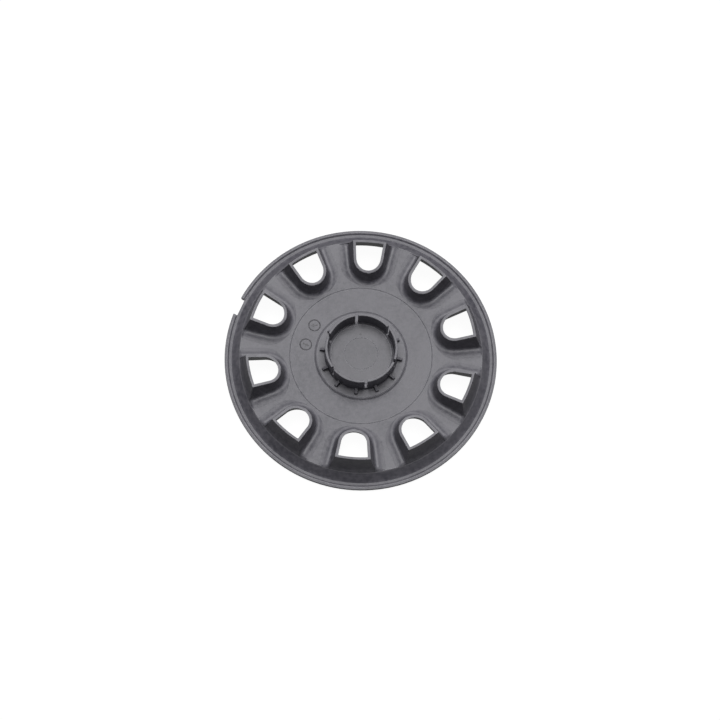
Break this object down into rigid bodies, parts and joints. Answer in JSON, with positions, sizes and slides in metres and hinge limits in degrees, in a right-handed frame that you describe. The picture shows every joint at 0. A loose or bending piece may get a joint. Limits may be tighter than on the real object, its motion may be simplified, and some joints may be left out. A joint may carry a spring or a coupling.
{
  "type": "mower wheel cover",
  "caption": "Round moulded plastic cover for a mower wheel, with a ring of funnel-shaped windows and a slotted collar at the back that snaps over the wheel's hub.",
  "frame": {"origin": "centre of the front face, on the wheel's axis", "axes": "+Z along the wheel's axis towards the wheel, +Y through the middle of a window"},
  "size_m": [0.2, 0.2, 0.0244],
  "materials": {
    "grey_plastic": "moulded polypropylene, satin"
  },
  "bodies": {
    "root": {"wheel_cover": "grey_plastic"}
  },
  "joints": []
}
